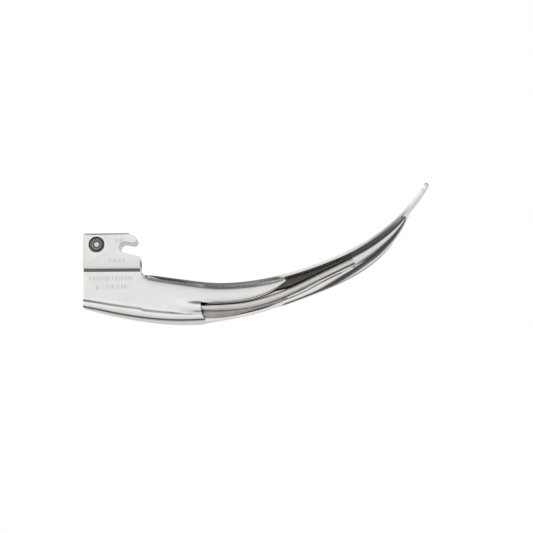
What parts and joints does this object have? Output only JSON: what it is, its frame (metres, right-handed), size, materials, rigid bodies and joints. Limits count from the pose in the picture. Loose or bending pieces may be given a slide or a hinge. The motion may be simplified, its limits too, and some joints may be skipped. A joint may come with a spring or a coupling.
{
  "type": "curved laryngoscope blade",
  "caption": "Curved fibre-light laryngoscope blade that hooks onto a handle and clicks in place with sprung balls.",
  "frame": {"origin": "axis of the handle's hinge pin where the hook slot holds it, midway across the base block", "axes": "+X towards the tip, +Z towards the handle, -Y towards the right side, which carries the light guide"},
  "size_m": [0.1556, 0.0231, 0.0616],
  "materials": {
    "polished_steel": "mirror polished stainless steel",
    "satin_steel": "satin stainless steel",
    "sheath_steel": "drawn stainless tube",
    "ball_steel": "bright bearing steel",
    "dark_steel": "dark turned steel",
    "dark_potting": "dark epoxy",
    "optical_glass": "polished fibre ends",
    "green_enamel": "enamel filled groove"
  },
  "bodies": {
    "blade": {"spatula": "polished_steel", "web_plate": "satin_steel", "flange": "polished_steel", "heel_shell": "satin_steel", "distal_cheek": "polished_steel", "heel_cap": "satin_steel", "base_block": "satin_steel", "colour_code_inlay": "green_enamel", "detent_bush_right": "dark_steel", "detent_bush_left": "dark_steel", "detent_spring": "ball_steel", "tang_screw_rear": "dark_steel", "tang_screw_front": "dark_steel", "light_guide_sheath": "sheath_steel", "fibre_bundle": "optical_glass", "potting_fillet": "dark_potting", "entry_ferrule": "polished_steel"},
    "right_ball": {"detent_ball_right": "ball_steel"},
    "left_ball": {"detent_ball_left": "ball_steel"}
  },
  "joints": [
    {"name": "right_ball_press", "type": "slide", "parent": "blade", "child": "right_ball", "axis": [0, 1, 0], "range_m": [0, 0.00065], "stiffness_N_per_m": 1500, "springref_m": -0.0005, "deforming": ["detent_spring"]},
    {"name": "left_ball_press", "type": "slide", "parent": "blade", "child": "left_ball", "axis": [0, -1, 0], "range_m": [0, 0.00065], "stiffness_N_per_m": 1500, "springref_m": -0.0005, "deforming": ["detent_spring"]}
  ]
}
